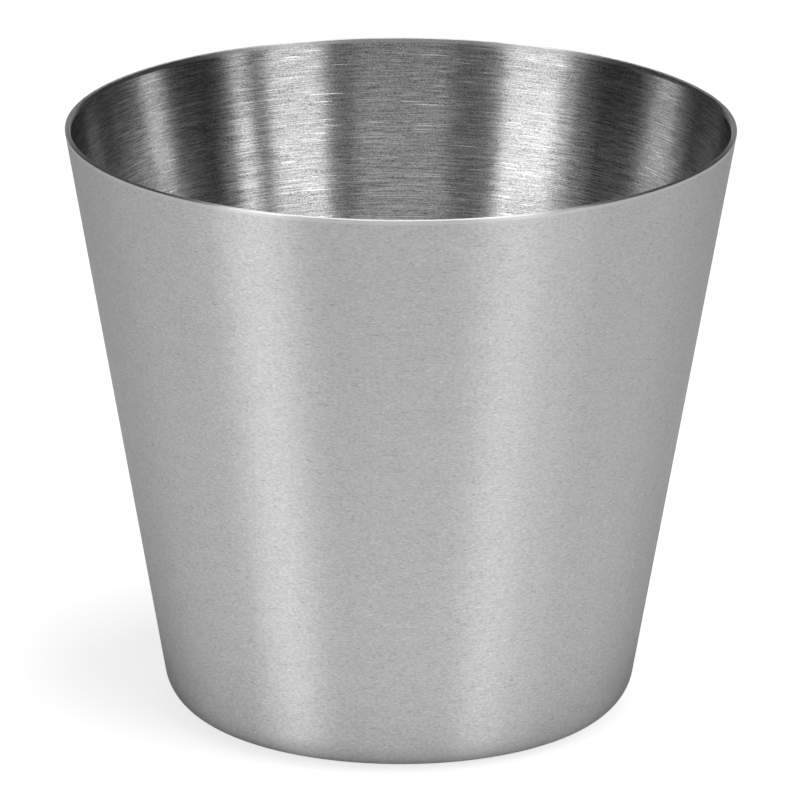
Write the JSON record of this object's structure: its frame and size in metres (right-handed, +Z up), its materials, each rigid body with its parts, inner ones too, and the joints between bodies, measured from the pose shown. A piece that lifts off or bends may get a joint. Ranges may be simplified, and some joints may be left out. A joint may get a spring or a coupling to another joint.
{
  "type": "julep cup",
  "caption": "Plain tapered steel julep cup: a brushed liner hung inside a satin shell, joined along a thin flat lip, with a rounded heel and a recessed base.",
  "frame": {"origin": "on the cup's axis, on the surface that it stands on", "axes": "+Z up along the cup's axis, towards the open lip; X and Y are free, because the cup is a body of revolution"},
  "size_m": [0.095, 0.095, 0.0855],
  "materials": {
    "satin_shell": "fine satin, short grain round the cup",
    "brushed_liner": "line brushed round the cup",
    "ground_lip": "ground bright",
    "spun_base": "turned, fine rings",
    "weld_bead": "as welded, wire brushed"
  },
  "bodies": {
    "root": {"outer_shell": "satin_shell", "inner_liner": "brushed_liner", "lip_weld": "ground_lip", "base_cap": "spun_base", "base_weld": "weld_bead"}
  },
  "joints": []
}
